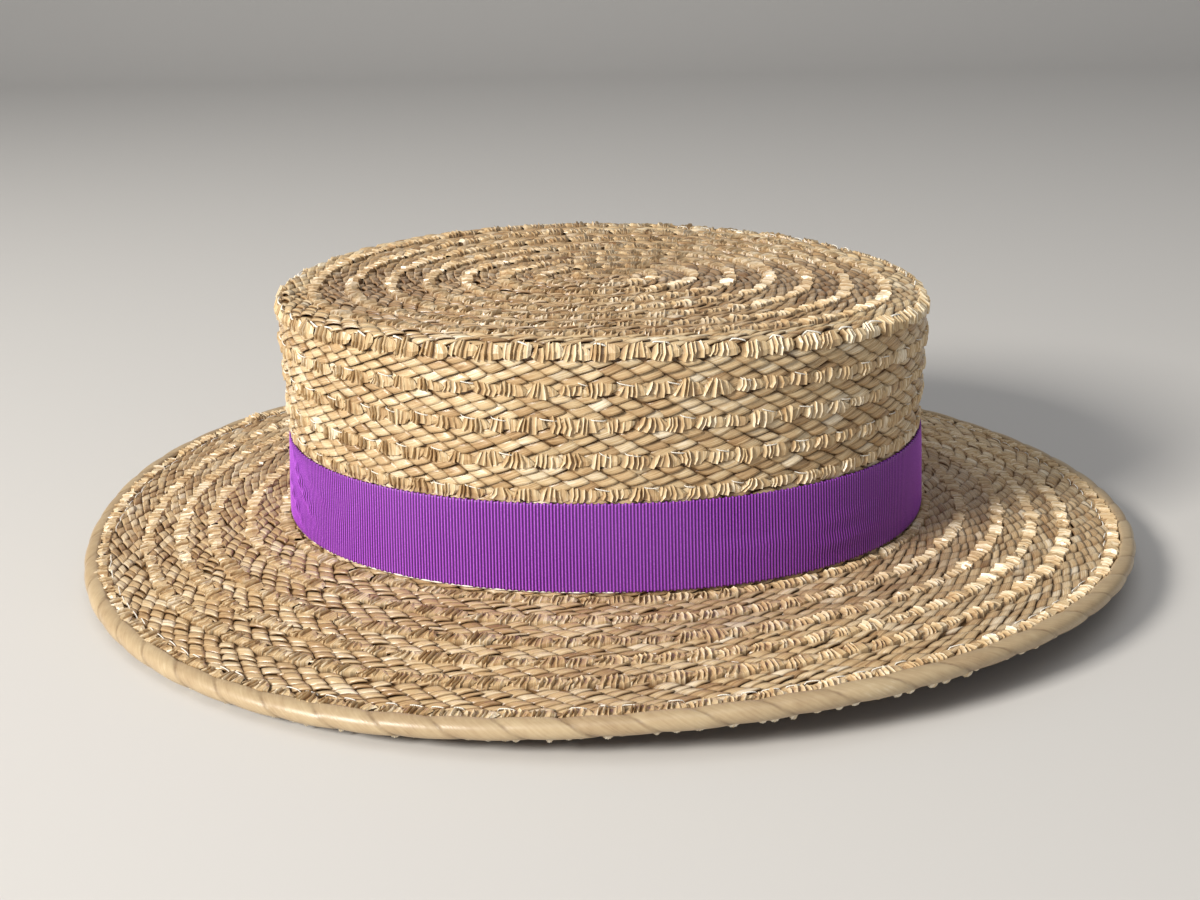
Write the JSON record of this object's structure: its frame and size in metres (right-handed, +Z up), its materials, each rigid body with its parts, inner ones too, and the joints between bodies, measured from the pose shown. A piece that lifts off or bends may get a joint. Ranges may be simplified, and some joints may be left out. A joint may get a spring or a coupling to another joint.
{
  "type": "straw boater hat",
  "caption": "Stiff straw hat with a flat-topped oval crown, a flat brim with a wound edge, and a grosgrain ribbon band; worn on the head, rests flat on its brim.",
  "frame": {"origin": "on the crown's axis, at the height of the lowest point of the brim's edge, where the hat stands on a table", "axes": "+Z up through the tip; X along the hat's long axis, front to back of the head; Y across it"},
  "size_m": [0.3324, 0.287, 0.0871],
  "materials": {
    "straw_plait": "knotted wheat-straw plait sewn in a spiral, faintly glossy straws with darker gaps",
    "straw_binding": "smooth split-straw strip wound round the edge, satin",
    "grosgrain": "purple ribbed petersham ribbon, soft sheen"
  },
  "bodies": {
    "root": {"crown": "straw_plait", "brim": "straw_plait", "under_edge_round": "straw_plait", "edge_binding": "straw_binding", "ribbon_band": "grosgrain"}
  },
  "joints": []
}
